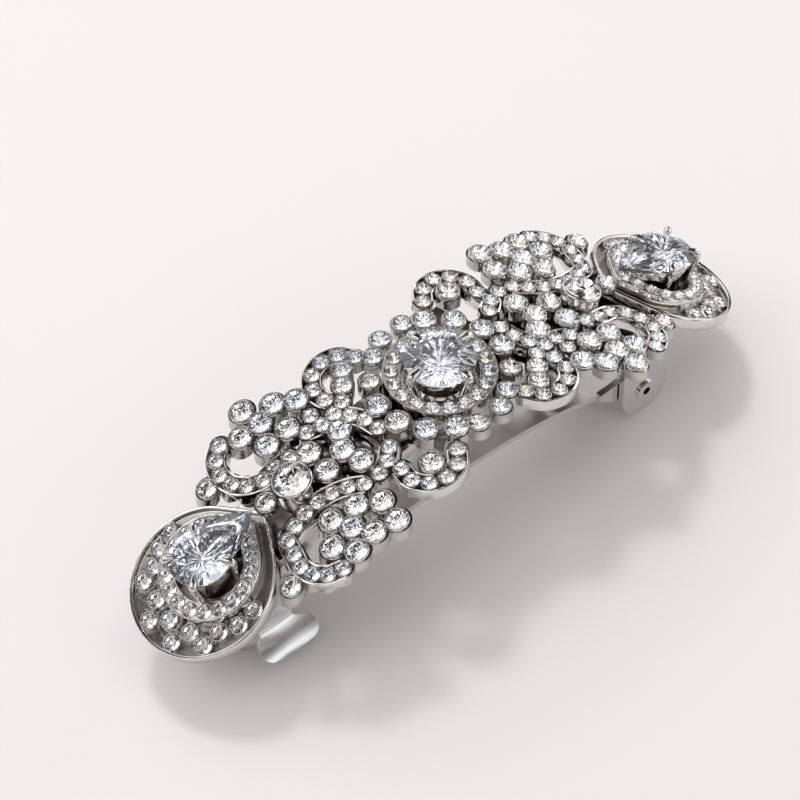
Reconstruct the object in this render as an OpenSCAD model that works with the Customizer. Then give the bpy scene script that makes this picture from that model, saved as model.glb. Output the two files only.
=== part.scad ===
// Rhinestone barrette: an arched spring clasp that carries a pierced, stone-set ornament.
// +X runs from the catch to the hinge, +Z is up, and Z = 0 is the surface it stands on.
// The ornament repeats itself when it is turned half a turn about Z, so each casting is
// written once, for the near (-X) half, and turned for the far half.

/* [Clasp] */
// Radius of the base bar's upper face
arch_r = 72; // [66:1:80]
// Height of the base bar's upper face at the middle
crest_z = 19.4; // [19:0.1:20]
// Width of the base bar
bar_w = 9; // [8:0.5:9]
// Thickness of the sheet that the bar and the arm are pressed from
sheet_t = 0.8; // [0.7:0.05:0.8]
// Drop from the bar's upper face to the arm's upper face at the middle
arm_drop = 9.9; // [9.6:0.1:10.2]
// Radius of the arm's upper face
arm_r = 66; // [64:1:68]
// Widest part of the arm
arm_w = 10.4; // [9.6:0.1:10.4]
// Radius of the tubular hinge pin
pin_r = 0.95; // [0.8:0.05:1.05]
// Thickness of the catch wings' spring sheet
wing_t = 0.45; // [0.4:0.05:0.5]

/* [Stones] */
// Diameter of the pave stones
pave_d = 1.75; // [1.6:0.05:1.75]
// Diameter of the flower stones
flower_d = 2.6; // [2.4:0.1:2.6]
// Diameter of the bud stones
bud_d = 2.2; // [2:0.1:2.2]
// Diameter of the two bezel stones
bezel_d = 4.2; // [4:0.1:4.2]
// Diameter of the centre stone
centre_d = 8.4; // [8.2:0.1:8.4]
// Width of the pear stones
pear_w = 7.3; // [6.9:0.1:7.3]

/* [Castings] */
// Gap between the bar and the castings, which the solder posts fill
lift = 0.5; // [0.4:0.1:0.5]
// Thickness of the scrollwork
cast_t = 1.5; // [1.4:0.1:1.6]
// Metal left round a stone
cup_wall = 0.35; // [0.3:0.05:0.35]
// Depth of a stone's seat
seat = 0.5; // [0.4:0.05:0.6]

/* [Hidden] */
$fn = 48;
arch_fn = 360;
slack = 0.01;                 // room round a stone in its seat, and round a rivet
tall = 80;                    // taller than the whole clip
cast_top = lift + cast_t;     // upper face of the scrollwork, above the bar
stone_rise = 0.75;            // height of a small stone above its seat's floor

// Arm, hinge and catch
pivot = [27, 3.5];            // hinge line, in X and Z
cheek_r = 3.6;                // its round foot is cut flat at Z = 0
cheek_in = bar_w / 2 + 1.2;   // inner face of a hinge cheek, across the bar
lug_w = 0.8;
lug_out = cheek_in - 0.15;
arm_tip_x = -33.5;
arm_tip_w = 8.6;
catch_x = [-32.4, -26.9];     // ends of a catch wing's wall, along X
wall_y = 5.3;                 // outer face of the wall
wall_z = [5, 11.7];           // foot and head of the wall
turn_r = 1;                   // bend between the wall and the thumb ear
ear_x = [-33, -25];
ear_r = 1.25;                 // round corners of the ear
ear_slope = 32;
ear_len = 2.7;
rivet_u = -31;
rivet_r = 1;
rivet_head = [1.6, 0.4];      // radius and thickness
head_gap = 0.02;              // room that the flat head needs under the curved plate

// Tension spring: a nearly flat leaf whose ends lie in two stirrups under the bar
leaf_x = [-24.8, 20.8];
leaf_w = 4.8;
leaf_t = 0.4;
leaf_r = 205;
leaf_top_z = 14.5;
stirrups = [[-24.2, 14.9], [19, 16.2]];  // X of each one's left face, Z of its head in the bar

// Teardrop: its own flat plane touches the arch here
drop_u = -35.5;
drop_c = -36;                 // centre of the round end
drop_r = 9.1;
drop_tip = -26;
rim_t = 0.5;
dish_h = 0.3;                 // underside of the dish, above the bar
halo_c = -34.2;
halo_w = [4.2, 6.3];          // inner and outer radius of the raised halo's round end
pear_c = -34.1;
pear_len = 7.4;               // from the round end's centre to the tip's
pear_tip_r = 0.4;
pear_waist = 0.38;            // share of the outline left just under the girdle
pear_tilt = 13;               // the pear's round end stands higher than its point
prong_at = 3.6;               // distance of a pear's prong from the round end's centre
floor_h = 1.2;                // dish floor
rim_h = 1.9;
tier_h = 2.9;                 // top of the raised halo
girdle_h = 3.9;               // underside of the pear stone's girdle, at its point
centre_girdle_h = 4.2;

function arc_pts(c, r, a0, a1, n) =
  [for (i = [0:n - 1]) let (a = a0 + (a1 - a0) * i / (n - 1)) c + r * [cos(a), sin(a)]];
function arch_deg(u) = u / arch_r * 180 / PI;
function plan_x(u) = (arch_r + cast_top - seat / 2) * sin(arch_deg(u));

// Stones of the near half: distance along the arch, distance across it
c_loop = arc_pts([-22.4, 7.2], 3.8, 112, 286, 7);
curl_ring = arc_pts([-8.7, 7.2], 3.3, 20, 235, 7);
stem = arc_pts([-22, -12.5], 9.1, 118, 48, 7);
leaf_loop = arc_pts([-23.5, -8.2], 3.85, 150, 258, 5);
drop_loop = arc_pts([-8.7, -8.5], 3.3, 158, 338, 6);
vine = [[-19.4, 3.3], [-16, 4.3], [-14.3, 5.7], [-14.2, 3.8], [-12.3, 3.95], [-11.2, 2.45],
        [-10.4, 0.8], [-10.05, -1.2], [-10.8, -4.1], [-12.15, -5.3], [-13.85, -5.95]];
pave = concat(c_loop, curl_ring, stem, leaf_loop, drop_loop, vine);
flowers = [[-21.5, 9.5], [-19.3, 12], [-18.8, 9.2], [-16.3, 10.1], [-20.1, 6.4], [-17.2, 6.3],
           [-21.4, -6.5], [-20.35, -8.95], [-23.4, -9.1], [-21.9, -11.6], [-19.1, -11.3],
           [-16.4, -12.1], [-16, -9], [-18.3, -7.2], [-17.6, 1.95], [-13.3, 1.7], [-14.75, -0.55],
           [-17.65, -1.3], [-14.15, -3.2], [-8.2, 1.2], [-8, -2.15], [-6.4, -5.2], [-3.7, -7.3],
           [-8.9, -9.2], [-14.1, 8.5]];
buds = [[-28.2, 7.7], [-29.6, -9], [-4.1, 6.9], [-6.6, 4.5], [-7.8, 8], [-9.2, 6.2],
        [-1.9, 8.3], [-1.5, -8.5]];
// Bars that tie the cups of the scrollwork together
ties = [[[-29.6, -9], [-27, -8.4]], [[-8, -2.15], [-6.4, -5.2]], [[-6.4, -5.2], [-3.7, -7.3]],
        [[-8.2, 1.2], [-6.6, 4.5]], [[-14.15, -3.2], [-13.85, -5.95]],
        [[-8, -2.15], [-10.8, -4.1]], [[-6.6, 4.5], [-4.1, 6.9]], [[-6.4, -5.2], [-5.6, -8]]];
tie_w = 1.5;

// Stones round the teardrop's halo: an arc, then straight runs that meet at the point
halo_r = 5.25;
halo_tip = -27.6;
halo_a = acos(halo_r / (halo_tip - halo_c));
halo_arc = arc_pts([halo_c, 0], halo_r, halo_a, 360 - halo_a, 15);
halo_run = 1.85 * [sin(halo_a), -cos(halo_a)];
halo_side = halo_arc[0] + halo_run;
halo_pts = concat(halo_arc, [halo_side, [halo_side[0], -halo_side[1]], [halo_tip - 0.3, 0]]);
crescent = [[-43.3, 1.9], [-43.2, -2.2], [-41.6, 0], [-41, -3.1], [-41, 3], [-41, -5.6],
            [-38.7, -5.9], [-36.6, -7.2], [-34.2, -7.34], [-40.5, 5.9], [-38.4, 6.2],
            [-36.6, 7.3], [-34.2, 7.34]];
crescent_d = 2;
centre_halo = arc_pts([0, 0], 5.65, 0, 340, 18);
ring_r = 6.7;
boss = [-25, 0.2];            // stone between the bezel and the teardrop's point
boss_top = 3.5;
bezel = [-21.3, 0];
bezel_top = 3.6;

module on_arch(u, y, h = 0)
  translate([0, y, crest_z - arch_r]) rotate([0, arch_deg(u), 0]) translate([0, 0, arch_r + h])
    children();

// Children are in the plan's own coordinates and lie flat on the arch at u
module flat_at(u, h = 0) on_arch(u, 0, h) translate([-u, 0, 0]) children();

module far_side() rotate([0, 0, 180]) children();

// A plan outline cut from a layer between heights h0 and h1 that follows the arch
module arched(h0, h1) intersection() {
  linear_extrude(tall) children();
  translate([0, 0, crest_z - arch_r]) rotate([90, 0, 0]) difference() {
    cylinder(r = arch_r + h1, h = tall, center = true, $fn = arch_fn);
    cylinder(r = arch_r + h0, h = tall + 2, center = true, $fn = arch_fn);
  }
}

// Round end of radius r at x = c, and a point rounded to radius tr at x = t
module teardrop(c, r, t, tr) {
  a = acos((r - tr) / (t - c));
  polygon(concat(arc_pts([c, 0], r, a, 360 - a, 73), arc_pts([t, 0], tr, -a, a, 9)));
}

module bar_between(p, q, w) translate(p)
  rotate(atan2(q[1] - p[1], q[0] - p[0])) translate([0, -w / 2]) square([norm(q - p), w]);

module stone(d) rotate_extrude() polygon([[0, 0], [d / 2, 0], [d / 2, stone_rise * 0.6],
                                          [d * 0.28, stone_rise], [0, stone_rise]]);

module stones(pts, d) color("white") for (p = pts)
  on_arch(p[0], p[1], cast_top - seat) stone(d);

module seats(pts, d) for (p = pts)
  on_arch(p[0], p[1], cast_top - seat) cylinder(d = d + 2 * slack, h = 2);

module cups(pts, d) for (p = pts) translate([plan_x(p[0]), p[1]]) circle(d = d + 2 * cup_wall);

// ---- clasp ----

module bar_outline() {
  translate([-34, -bar_w / 2]) square([60, bar_w]);
  translate([-34, 0]) circle(bar_w / 2);
  translate([23.4, -cheek_in - sheet_t]) square([7, 2 * (cheek_in + sheet_t)]);
}

module cheek() rotate([90, 0, 0]) linear_extrude(sheet_t) difference() {
  union() {
    translate(pivot) circle(cheek_r);
    polygon([[pivot[0] - cheek_r, pivot[1]], [pivot[0] + cheek_r, pivot[1]], [30.3, 13.1],
             [23.5, 15.3]]);
  }
  translate(pivot) circle(pin_r + slack);
  translate([pivot[0] - cheek_r, -1]) square([2 * cheek_r, 1]);
}

function leaf_z(x) = leaf_top_z - leaf_r + sqrt(leaf_r * leaf_r - x * x);

// A frame hung from the bar that the leaf's end slides in
module stirrup(x, head_z) {
  foot_z = leaf_z(x) - leaf_t - 0.5;
  translate([x, 0, foot_z]) difference() {
    translate([0, -leaf_w / 2 - 0.6, 0]) cube([1.2, leaf_w + 1.2, head_z - foot_z]);
    translate([-1, -leaf_w / 2 - 0.1, 0.4]) cube([4, leaf_w + 0.2, tall]);
  }
}

module base_bar() color("silver") difference() {
  union() {
    arched(-sheet_t, 0) bar_outline();
    for (s = [-1, 1]) translate([0, s * (cheek_in + sheet_t / 2) + sheet_t / 2, 0]) cheek();
    for (f = stirrups) stirrup(f[0], f[1]);
  }
  on_arch(rivet_u, 0, -3) cylinder(r = rivet_r + slack, h = 6);
}

plate_w = 2 * (wall_y - wing_t - 0.05);
module catch_plate() color("lightgray") difference() {
  arched(-sheet_t - wing_t, -sheet_t) translate([catch_x[0], -plate_w / 2])
    square([catch_x[1] - catch_x[0], plate_w]);
  on_arch(rivet_u, 0, -3) cylinder(r = rivet_r + slack, h = 6);
}

module catch_rivet() color("silver") {
  on_arch(rivet_u, 0, -sheet_t - wing_t - head_gap - rivet_head[1])
    cylinder(r = rivet_head[0], h = rivet_head[1]);
  on_arch(rivet_u, 0, -sheet_t - wing_t - rivet_head[1])
    cylinder(r = rivet_r, h = sheet_t + wing_t + rivet_head[1]);
}

// Section of a catch wing: y outward, z up. The wall bends out into the sloping thumb ear.
module wing_wall() translate([wall_y - wing_t, wall_z[0]])
  square([wing_t, wall_z[1] - wall_z[0]]);

module wing_turn() intersection() {
  translate([wall_y + turn_r, wall_z[0]]) difference() {
    circle(turn_r + wing_t);
    circle(turn_r);
  }
  translate([wall_y - wing_t, wall_z[0] - 2]) square([turn_r + wing_t, 2]);
}

module wing_ear() translate([wall_y + turn_r, wall_z[0] - turn_r]) rotate(-ear_slope)
  translate([-0.15, -wing_t]) square([ear_len + 0.15, wing_t]);

module along_x(x) translate([x[0], 0, 0]) rotate([90, 0, 90]) linear_extrude(x[1] - x[0])
  children();

module ear_outline() for (x = [ear_x[0] + ear_r, ear_x[1] - ear_r])
  translate([x, wall_y + turn_r + ear_r - 0.15]) circle(ear_r);

module wing() color("lightgray") {
  along_x(catch_x) {
    wing_wall();
    wing_turn();
  }
  intersection() {
    along_x(ear_x) wing_ear();
    linear_extrude(tall) {
      ear_outline();
      translate([ear_x[0] + ear_r, wall_y]) square([ear_x[1] - ear_x[0] - 2 * ear_r, 4]);
    }
  }
}

module near_wing() mirror([0, 1, 0]) wing();
module far_wing() wing();

module arm_outline() {
  polygon([[24, arm_w / 2 - 0.1], [24, -arm_w / 2 + 0.1], [18, -arm_w / 2], [-18, -arm_w / 2],
           [-24, -arm_tip_w / 2], [arm_tip_x + 2, -arm_tip_w / 2], [arm_tip_x, -arm_tip_w / 4],
           [arm_tip_x, arm_tip_w / 4], [arm_tip_x + 2, arm_tip_w / 2], [-24, arm_tip_w / 2],
           [-18, arm_w / 2], [18, arm_w / 2]]);
}

module arm_lug() rotate([90, 0, 0]) linear_extrude(lug_w) difference() {
  union() {
    translate(pivot) circle(2.3);
    polygon([[20.5, 6.3], [20.5, 5.2], [pivot[0] - 0.8, pivot[1] - 2.1], pivot,
             [pivot[0] + 0.8, pivot[1] + 2.1], [24, 6.4]]);
  }
  translate(pivot) circle(pin_r + 0.05);
}

module clasp_arm() color("silver") {
  intersection() {
    linear_extrude(tall) arm_outline();
    translate([0, 0, crest_z - arm_drop - arm_r]) rotate([90, 0, 0]) difference() {
      cylinder(r = arm_r, h = tall, center = true, $fn = arch_fn);
      cylinder(r = arm_r - sheet_t, h = tall + 2, center = true, $fn = arch_fn);
    }
  }
  for (s = [-1, 1]) translate([0, s * (lug_out - lug_w / 2) + lug_w / 2, 0]) arm_lug();
}

module hinge_pin() color("silver") translate([pivot[0], 0, pivot[1]]) rotate([90, 0, 0])
  difference() {
    union() {
      cylinder(r = pin_r, h = 2 * (cheek_in + sheet_t), center = true);
      for (s = [-1, 1]) translate([0, 0, s * (cheek_in + sheet_t + 0.15)])
        cylinder(r = pin_r + 0.45, h = 0.3, center = true);
    }
    cylinder(r = pin_r - 0.4, h = tall, center = true);
  }

module tension_spring() color("silver") intersection() {
  translate([leaf_x[0], -leaf_w / 2, 0]) cube([leaf_x[1] - leaf_x[0], leaf_w, tall]);
  translate([0, 0, leaf_top_z - leaf_r]) rotate([90, 0, 0]) difference() {
    cylinder(r = leaf_r, h = tall, center = true, $fn = arch_fn * 2);
    cylinder(r = leaf_r - leaf_t, h = tall + 2, center = true, $fn = arch_fn * 2);
  }
}

post_pts = [[-34, 0], [-19.4, 3.3], [-14.75, -0.55], [-10.05, -1.2], [-21.3, 0]];
module solder_posts() color("silver") {
  for (s = [0, 180]) rotate([0, 0, s]) difference() {
    for (p = post_pts) arched(0, lift) translate([plan_x(p[0]), p[1]]) circle(0.8);
    flat_at(drop_u, dish_h) translate([drop_u - 5, -5, 0]) cube([10, 10, 5]);
  }
  translate([0, 0, crest_z]) cylinder(r = 1.2, h = lift);
}

// ---- teardrop ends ----

module dish() color("gainsboro") flat_at(drop_u) difference() {
  translate([0, 0, dish_h]) linear_extrude(rim_h - dish_h) teardrop(drop_c, drop_r, drop_tip, 0.6);
  translate([0, 0, floor_h]) linear_extrude(2) teardrop(drop_c, drop_r - rim_t, drop_tip - 0.8, 0.3);
  for (p = crescent) translate([p[0], p[1], floor_h - seat])
    cylinder(d = crescent_d + 2 * slack, h = 2);
}

module halo_tier() color("gainsboro") flat_at(drop_u) difference() {
  translate([0, 0, floor_h]) linear_extrude(tier_h - floor_h) difference() {
    teardrop(halo_c, halo_w[1], -27.9, 1);
    teardrop(halo_c, halo_w[0], -29.6, 0.2);
  }
  for (p = halo_pts) translate([p[0], p[1], tier_h - seat])
    cylinder(d = pave_d + 2 * slack, h = 2);
}

// The pear's own plane turns about a line across its point
module pear_plane() translate([pear_c + pear_len, 0, girdle_h]) rotate([0, pear_tilt, 0])
  translate([-pear_c - pear_len, 0, -girdle_h]) children();

function pear_rise(x) = (pear_c + pear_len - x) * tan(pear_tilt);

module pear_prong(a) {
  x = pear_c + prong_at * cos(a);
  translate([x, prong_at * sin(a), floor_h])
    cylinder(r = 0.36, h = girdle_h + pear_rise(x) + 0.9 - floor_h);
}

prong_a = [60, 140, 220, 300];
module pear_setting() color("gainsboro") flat_at(drop_u) difference() {
  union() {
    translate([0, 0, floor_h]) linear_extrude(0.5) teardrop(pear_c, 3.9, -30.5, 0.2);
    translate([0, 0, floor_h]) linear_extrude(girdle_h + pear_rise(pear_c) - floor_h + 1)
      difference() {
        teardrop(pear_c, 3.1, -30.3, 0.4);
        teardrop(pear_c, 2.6, -31, 0.2);
      }
    for (a = prong_a) pear_prong(a);
  }
  pear_plane() translate([0, 0, girdle_h]) linear_extrude(5)
    teardrop(pear_c, pear_w / 2 + slack, pear_c + pear_len, pear_tip_r + slack);
}

module pear(share, t) linear_extrude(t)
  teardrop(pear_c, pear_w / 2 * share, pear_c + pear_len * share, pear_tip_r * share);

module pear_stone() color("white") flat_at(drop_u) pear_plane() {
  translate([0, 0, girdle_h]) pear(1, 0.4);
  hull() {
    translate([0, 0, girdle_h + 0.4]) pear(1, 0.01);
    translate([0, 0, girdle_h + 1.3]) pear(0.55, 0.01);
  }
  hull() {
    translate([0, 0, girdle_h - 0.01]) pear(pear_waist, 0.01);
    translate([0, 0, girdle_h - 2.2]) pear(0.08, 0.01);
  }
}

// ---- scrollwork ----

module scroll_outline() difference() {
  union() {
    cups(pave, pave_d);
    cups(flowers, flower_d);
    cups(buds, bud_d);
    for (t = ties) bar_between([plan_x(t[0][0]), t[0][1]], [plan_x(t[1][0]), t[1][1]], tie_w);
  }
  circle(ring_r + 0.05);
}

module scrollwork() color("gainsboro") difference() {
  arched(lift, cast_top) scroll_outline();
  seats(pave, pave_d);
  seats(flowers, flower_d);
  seats(buds, bud_d);
  on_arch(bezel[0], bezel[1]) cylinder(r = bezel_d / 2 + cup_wall + 0.05, h = 6);
}

module bezel_cup() color("gainsboro") difference() {
  union() {
    on_arch(bezel[0], bezel[1], lift) cylinder(r = bezel_d / 2 + cup_wall, h = bezel_top - lift);
    on_arch(boss[0], boss[1], boss_top - 0.7) cylinder(r = bud_d / 2 + cup_wall, h = 0.7);
  }
  on_arch(bezel[0], bezel[1], bezel_top - 1) cylinder(r = bezel_d / 2 + slack, h = 2);
  on_arch(boss[0], boss[1], boss_top - seat) cylinder(r = bud_d / 2 + slack, h = 2);
}

module bezel_stone() color("white") on_arch(bezel[0], bezel[1], bezel_top - 1) rotate_extrude()
  polygon([[0, 0], [bezel_d / 2, 0], [bezel_d / 2, 0.9], [bezel_d * 0.3, 1.5], [0, 1.5]]);

// ---- centre ----

module centre_halo_ring() color("gainsboro") difference() {
  translate([0, 0, crest_z + lift]) difference() {
    cylinder(r = ring_r, h = cast_t + 0.4);
    translate([0, 0, -1]) cylinder(r = 4.6, h = 5);
  }
  for (p = centre_halo) translate([p[0], p[1], crest_z + cast_top + 0.4 - seat])
    cylinder(d = pave_d + 2 * slack, h = 2);
}

prong_lean = atan(1.2 / 4.2);
module centre_setting() color("gainsboro") translate([0, 0, crest_z]) {
  translate([0, 0, lift]) cylinder(r = 4.4, h = 0.5);
  translate([0, 0, lift]) difference() {
    cylinder(r = 3, h = 2.55);
    translate([0, 0, 0.5]) cylinder(r = 2.4, h = 4);
  }
  for (a = [4, 94, 184, 274]) rotate([0, 0, a]) translate([3.65, 0, 0.8])
    rotate([0, prong_lean, 0]) cylinder(r = 0.4, h = 4.4);
}

module centre_stone() color("white") translate([0, 0, crest_z]) rotate_extrude()
  polygon([[0, 1.6], [centre_d / 2, centre_girdle_h], [centre_d / 2, centre_girdle_h + 0.25],
           [centre_d * 0.28, centre_girdle_h + 1.4], [0, centre_girdle_h + 1.4]]);

module near_teardrop_dish() dish();
module far_teardrop_dish() far_side() dish();
module near_halo_tier() halo_tier();
module far_halo_tier() far_side() halo_tier();
module near_pear_setting() pear_setting();
module far_pear_setting() far_side() pear_setting();
module near_pear_stone() pear_stone();
module far_pear_stone() far_side() pear_stone();
module near_scrollwork() scrollwork();
module far_scrollwork() far_side() scrollwork();
module near_bezel_cup() bezel_cup();
module far_bezel_cup() far_side() bezel_cup();
module near_bezel_stone() bezel_stone();
module far_bezel_stone() far_side() bezel_stone();
module near_halo_stones() color("white") flat_at(drop_u)
  for (p = halo_pts) translate([p[0], p[1], tier_h - seat]) stone(pave_d);
module far_halo_stones() far_side() near_halo_stones();
module near_crescent_stones() color("white") flat_at(drop_u)
  for (p = crescent) translate([p[0], p[1], floor_h - seat]) stone(crescent_d);
module far_crescent_stones() far_side() near_crescent_stones();
module near_pave_stones() stones(pave, pave_d);
module far_pave_stones() far_side() near_pave_stones();
module near_flower_stones() stones(flowers, flower_d);
module far_flower_stones() far_side() near_flower_stones();
module near_bud_stones() {
  stones(buds, bud_d);
  color("white") on_arch(boss[0], boss[1], boss_top - seat) stone(bud_d);
}
module far_bud_stones() far_side() near_bud_stones();
module centre_halo_stones() color("white") for (p = centre_halo)
  translate([p[0], p[1], crest_z + cast_top + 0.4 - seat]) stone(pave_d);

base_bar();
catch_plate();
catch_rivet();
near_wing();
far_wing();
clasp_arm();
hinge_pin();
tension_spring();
solder_posts();
near_teardrop_dish();
far_teardrop_dish();
near_halo_tier();
far_halo_tier();
near_pear_setting();
far_pear_setting();
near_pear_stone();
far_pear_stone();
near_scrollwork();
far_scrollwork();
near_bezel_cup();
far_bezel_cup();
near_bezel_stone();
far_bezel_stone();
centre_halo_ring();
centre_setting();
centre_stone();
near_halo_stones();
far_halo_stones();
near_crescent_stones();
far_crescent_stones();
near_pave_stones();
far_pave_stones();
near_flower_stones();
far_flower_stones();
near_bud_stones();
far_bud_stones();
centre_halo_stones();
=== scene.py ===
import math

import bmesh
import bpy
import numpy as np
from mathutils import Matrix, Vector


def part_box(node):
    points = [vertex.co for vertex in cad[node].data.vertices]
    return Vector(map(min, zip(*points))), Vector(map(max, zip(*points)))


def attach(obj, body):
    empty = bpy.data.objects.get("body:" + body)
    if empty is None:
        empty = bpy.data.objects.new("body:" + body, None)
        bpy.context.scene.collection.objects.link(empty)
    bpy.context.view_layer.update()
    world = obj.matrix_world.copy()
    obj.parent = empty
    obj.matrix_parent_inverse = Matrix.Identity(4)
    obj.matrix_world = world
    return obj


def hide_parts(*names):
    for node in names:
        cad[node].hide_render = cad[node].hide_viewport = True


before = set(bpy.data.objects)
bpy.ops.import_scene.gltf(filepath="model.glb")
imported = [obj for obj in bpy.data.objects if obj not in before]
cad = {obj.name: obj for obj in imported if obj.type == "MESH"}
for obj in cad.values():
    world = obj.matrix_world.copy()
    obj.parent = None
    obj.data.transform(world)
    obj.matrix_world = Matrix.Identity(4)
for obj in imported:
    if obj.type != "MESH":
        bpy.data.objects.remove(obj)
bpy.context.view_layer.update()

MM = 0.001
UP = np.array([0.0, 0.0, 1.0])
ACROSS = np.array([0.0, 1.0, 0.0])
SIDES = (("near", 1.0), ("far", -1.0))   # which way each end's teardrop points along X
BODY = "ornament"
GOLDEN_ANGLE = 2.399963
CRISP = math.radians(40)          # an edge sharper than this stays crisp


# ---- reading the frame ----

def corners(node):
    """A node's corner points and triangles, with corners at one place merged."""
    mesh = cad[node].data
    co = np.empty(len(mesh.vertices) * 3)
    mesh.vertices.foreach_get("co", co)
    mesh.calc_loop_triangles()
    tri = np.empty(len(mesh.loop_triangles) * 3, dtype=np.int64)
    mesh.loop_triangles.foreach_get("vertices", tri)
    places, index = np.unique(np.round(co.reshape(-1, 3) * 1e7).astype(np.int64), axis=0,
                              return_inverse=True)
    return places * 1e-7, index.reshape(-1)[tri].reshape(-1, 3)


def loose_solids(node):
    """Points of each separate solid: a label spreads over each triangle until it settles."""
    points, tri = corners(node)
    label = np.arange(len(points))
    while True:
        spread = label.copy()
        np.minimum.at(spread, tri, label[tri].min(axis=1)[:, None].repeat(3, axis=1))
        if (spread == label).all():
            return [points[label == k] for k in np.unique(label)]
        label = spread


def seat_of(points):
    """Centre of the foot, axis, radius and height of a turned solid.

    The axis is the direction in which the points spread least, turned upwards.
    """
    axis = np.linalg.eigh(np.cov((points - points.mean(axis=0)).T))[1][:, 0]
    axis = axis * np.sign(axis[2])
    u, v = frame_across(axis)
    flat = np.stack([points @ u, points @ v], axis=1)
    mid = (flat.min(axis=0) + flat.max(axis=0)) / 2
    h = points @ axis
    foot = mid[0] * u + mid[1] * v + h.min() * axis
    return foot, axis, np.ptp(flat, axis=0).max() / 2, np.ptp(h)


def frame_across(axis):
    """Two unit directions square to an axis: the first leans to +X, the second to +Y."""
    u = np.cross(ACROSS, axis)
    u /= np.linalg.norm(u)
    return u, np.cross(axis, u)


def seats(node):
    """Arrays of feet, axes, radii and heights for a node's solids."""
    found = [seat_of(p) for p in loose_solids(node)]
    return [np.array(a) for a in zip(*found)]


# ---- making meshes ----

def make_piece(name, verts, faces, materials, body, replaces=(), smooth=True,
               face_mats=None):
    """A mesh that rides on a body, with a material for each face where one is given."""
    mesh = bpy.data.meshes.new(name)
    mesh.from_pydata(np.asarray(verts).tolist(), [], [list(f) for f in faces])
    for m in materials:
        mesh.materials.append(m)
    if face_mats is not None:
        mesh.polygons.foreach_set("material_index", np.asarray(face_mats, dtype=np.int32))
    mesh.polygons.foreach_set("use_smooth", np.full(len(mesh.polygons), smooth))
    mesh.update()
    piece = bpy.data.objects.new(name, mesh)
    bpy.context.scene.collection.objects.link(piece)
    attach(piece, body)
    if replaces:
        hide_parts(*replaces)
    return piece


def grid_faces(rows, cols, close_rows=False, close_cols=False):
    """Quads of a grid of points, row by row."""
    i, j = np.meshgrid(np.arange(rows if close_rows else rows - 1),
                       np.arange(cols if close_cols else cols - 1), indexing="ij")
    i2, j2 = (i + 1) % rows, (j + 1) % cols
    return np.stack([i * cols + j, i2 * cols + j, i2 * cols + j2, i * cols + j2],
                    axis=-1).reshape(-1, 4)


def copies(points, faces, feet, axes, radii, turns):
    """One template in many places: turned about its axis, scaled by the radius, set on the foot."""
    count, size = len(feet), len(points)
    out = np.empty((count, size, 3))
    for k in range(count):
        u, v = frame_across(axes[k])
        c, s = math.cos(turns[k]), math.sin(turns[k])
        rows = np.stack([c * u + s * v, c * v - s * u, axes[k]])
        out[k] = feet[k] + radii[k] * points @ rows
    all_faces = [tuple(k * size + i for i in f) for k in range(count) for f in faces]
    return out.reshape(-1, 3), all_faces


def golden_turns(count):
    """Angles that never repeat, so that no two neighbours catch the light alike."""
    return np.arange(count) * GOLDEN_ANGLE


# ---- cut stones ----

STAR_OUT, STAR_UP = 0.47, 0.62    # star point: share of the way to the girdle, of the crown
LOW_R, LOW_DOWN = 0.28, 0.76      # lower point: radius, share of the way down to the culet


def brilliant(table, crown, girdle, depth, mains=8):
    """A round cut of unit radius about the girdle's upper edge, as points and faces.

    The table's corners and the girdle's stand at the same angles. A star point between two
    table corners, a third of the way down the crown, joins them to the girdle. Below the
    girdle, points half way down the pavilion lie between the mains that meet at the culet.
    """
    a = np.arange(mains) * 2 * math.pi / mains
    b = a + math.pi / mains

    def ring(turn, r, z):
        return np.stack([r * np.cos(turn), r * np.sin(turn), np.full(mains, z)], axis=1)

    g = np.arange(2 * mains) * math.pi / mains
    edge = np.stack([np.cos(g), np.sin(g)], axis=1)
    star_r = table + (1 - table) * STAR_OUT
    low_z = -girdle - (depth - girdle) * LOW_DOWN
    points = np.concatenate([
        ring(a, table, crown), ring(b, star_r, crown * STAR_UP),
        np.column_stack([edge, np.zeros(2 * mains)]),
        np.column_stack([edge, np.full(2 * mains, -girdle)]),
        ring(b, LOW_R, low_z), [[0, 0, -depth]]])
    T, S, G, H, L, C = 0, mains, 2 * mains, 4 * mains, 6 * mains, 7 * mains
    faces, under = [tuple(range(mains))], []
    for k in range(mains):
        n, p = (k + 1) % mains, (k - 1) % mains
        g0, g1, g2 = 2 * k, 2 * k + 1, (2 * k + 2) % (2 * mains)
        faces += [(T + k, S + k, T + n), (T + k, S + p, G + g0, S + k),
                  (S + k, G + g0, G + g1), (S + k, G + g1, G + g2),
                  (G + g0, H + g0, H + g1, G + g1), (G + g1, H + g1, H + g2, G + g2)]
        under += [(H + g0, L + k, H + g1), (H + g1, L + k, H + g2),
                  (H + g0, L + p, C), (H + g0, C, L + k)]
    return points, faces + under, len(faces)


UNDER_LIP = 1.04     # a cut stone reaches a little under the metal that holds it


def set_stones(node, body, crystal, foil, cut, girdle):
    """Cut stones in the seats of a node's plain ones, with the girdle a little above the foot."""
    feet, axes, radii, heights = seats(node)
    points, faces, above = cut
    centres = feet + axes * girdle
    verts, all_faces = copies(points, faces, centres, axes, radii * UNDER_LIP,
                              golden_turns(len(feet)))
    mats = np.tile(np.where(np.arange(len(faces)) < above, 0, 1), len(feet))
    make_piece(node + "_cut", verts, all_faces, [crystal, foil], body, (node,),
               smooth=False, face_mats=mats)
    return feet, axes, radii, heights


# ---- metal round the stones ----

# A small stone's lip, as (radius, height) for a stone of unit radius
LIP = [(1.0, -0.16), (1.005, 0.0), (1.06, 0.05), (1.12, 0.0), (1.17, -0.3)]


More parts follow.
